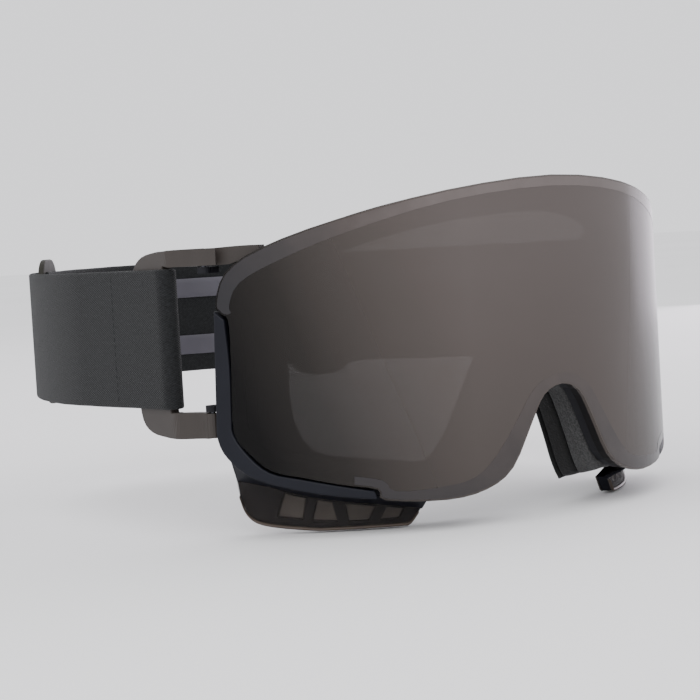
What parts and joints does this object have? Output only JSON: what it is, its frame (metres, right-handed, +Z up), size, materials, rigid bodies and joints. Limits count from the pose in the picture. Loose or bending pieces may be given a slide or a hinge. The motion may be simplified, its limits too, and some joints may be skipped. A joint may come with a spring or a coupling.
{
  "type": "ski goggles",
  "caption": "Frameless-look ski goggles: wide smoky cylindrical double lens, foam face seal, side latches, chin vents, hinged outriggers and an elastic strap with slider buckles.",
  "frame": {"origin": "middle of the goggles' box at its base, which is the flat underside of the chin vents", "axes": "+Z up, -Y the way the wearer looks, +X to the wearer's left; the goggles are symmetric about X = 0"},
  "size_m": [0.1864, 0.2192, 0.098],
  "materials": {
    "outer_lens": "dark smoky tint with a faint mirror coat",
    "inner_lens": "clear",
    "lens_rim": "satin purple-grey",
    "lens_spacer": "matte foam",
    "face_frame": "matte soft plastic",
    "foam_base": "grey open-cell foam",
    "foam_face": "black open-cell foam",
    "fleece": "short black fleece",
    "latch": "satin blue-black",
    "chin_vent": "satin blue-black",
    "chin_screen": "brown-grey mesh",
    "outrigger": "smoky brown-grey, slightly clear",
    "pin": "plain steel",
    "strap": "plain woven elastic webbing",
    "grip": "grey silicone",
    "slider": "smoky olive-grey, slightly clear"
  },
  "bodies": {
    "frame": {"face_frame": "face_frame", "foam_base": "foam_base", "foam_face": "foam_face", "face_fleece": "fleece", "strap_back": "strap", "strap_right": "strap", "chin_vent_right": "chin_vent", "shoulder_right": "outrigger", "chin_screen_right_0": "chin_screen", "chin_screen_right_1": "chin_screen", "chin_screen_right_2": "chin_screen", "chin_screen_right_3": "chin_screen", "hinge_bracket_upper_right": "face_frame", "hinge_bracket_lower_right": "face_frame", "hinge_pin_upper_right": "pin", "hinge_pin_lower_right": "pin", "grip_upper_right": "grip", "grip_lower_right": "grip", "strap_left": "strap", "chin_vent_left": "chin_vent", "shoulder_left": "outrigger", "chin_screen_left_0": "chin_screen", "chin_screen_left_1": "chin_screen", "chin_screen_left_2": "chin_screen", "chin_screen_left_3": "chin_screen", "hinge_bracket_upper_left": "face_frame", "hinge_bracket_lower_left": "face_frame", "hinge_pin_upper_left": "pin", "hinge_pin_lower_left": "pin", "grip_upper_left": "grip", "grip_lower_left": "grip", "grip_upper_back": "grip", "grip_lower_back": "grip"},
    "lens": {"outer_lens": "outer_lens", "lens_rim": "lens_rim", "lens_spacer": "lens_spacer", "inner_lens": "inner_lens"},
    "latch_right": {"latch_right": "latch"},
    "outrigger_right": {"outrigger_right": "outrigger"},
    "slider_right": {"slider_right": "slider"},
    "latch_left": {"latch_left": "latch"},
    "outrigger_left": {"outrigger_left": "outrigger"},
    "slider_left": {"slider_left": "slider"}
  },
  "joints": [
    {"name": "lens_pull_off", "type": "slide", "parent": "frame", "child": "lens", "axis": [0, -1, 0], "range_m": [0, 0.03]},
    {"name": "latch_swing_right", "type": "hinge", "parent": "frame", "child": "latch_right", "pos_m": [-0.08349, -0.0578, 0.052], "axis": [0, 0, -1], "range_deg": [0, 25]},
    {"name": "outrigger_hinge_right", "type": "hinge", "parent": "frame", "child": "outrigger_right", "pos_m": [-0.0849, -0.0548, 0.052], "axis": [0, 0, 1], "range_deg": [-12, 15], "deforming": ["strap_right"]},
    {"name": "slider_slide_right", "type": "hinge", "parent": "frame", "child": "slider_right", "pos_m": [0.0348, -0.0024, 0.052], "axis": [0, 0, 1], "range_deg": [-4, 4], "deforming": ["strap_back"]},
    {"name": "latch_swing_left", "type": "hinge", "parent": "frame", "child": "latch_left", "pos_m": [0.08349, -0.0578, 0.052], "axis": [0, 0, 1], "range_deg": [0, 25]},
    {"name": "outrigger_hinge_left", "type": "hinge", "parent": "frame", "child": "outrigger_left", "pos_m": [0.0849, -0.0548, 0.052], "axis": [0, 0, -1], "range_deg": [-12, 15], "deforming": ["strap_left"]},
    {"name": "slider_slide_left", "type": "hinge", "parent": "frame", "child": "slider_left", "pos_m": [-0.0348, -0.0024, 0.052], "axis": [0, 0, -1], "range_deg": [-4, 4], "deforming": ["strap_back"]}
  ]
}
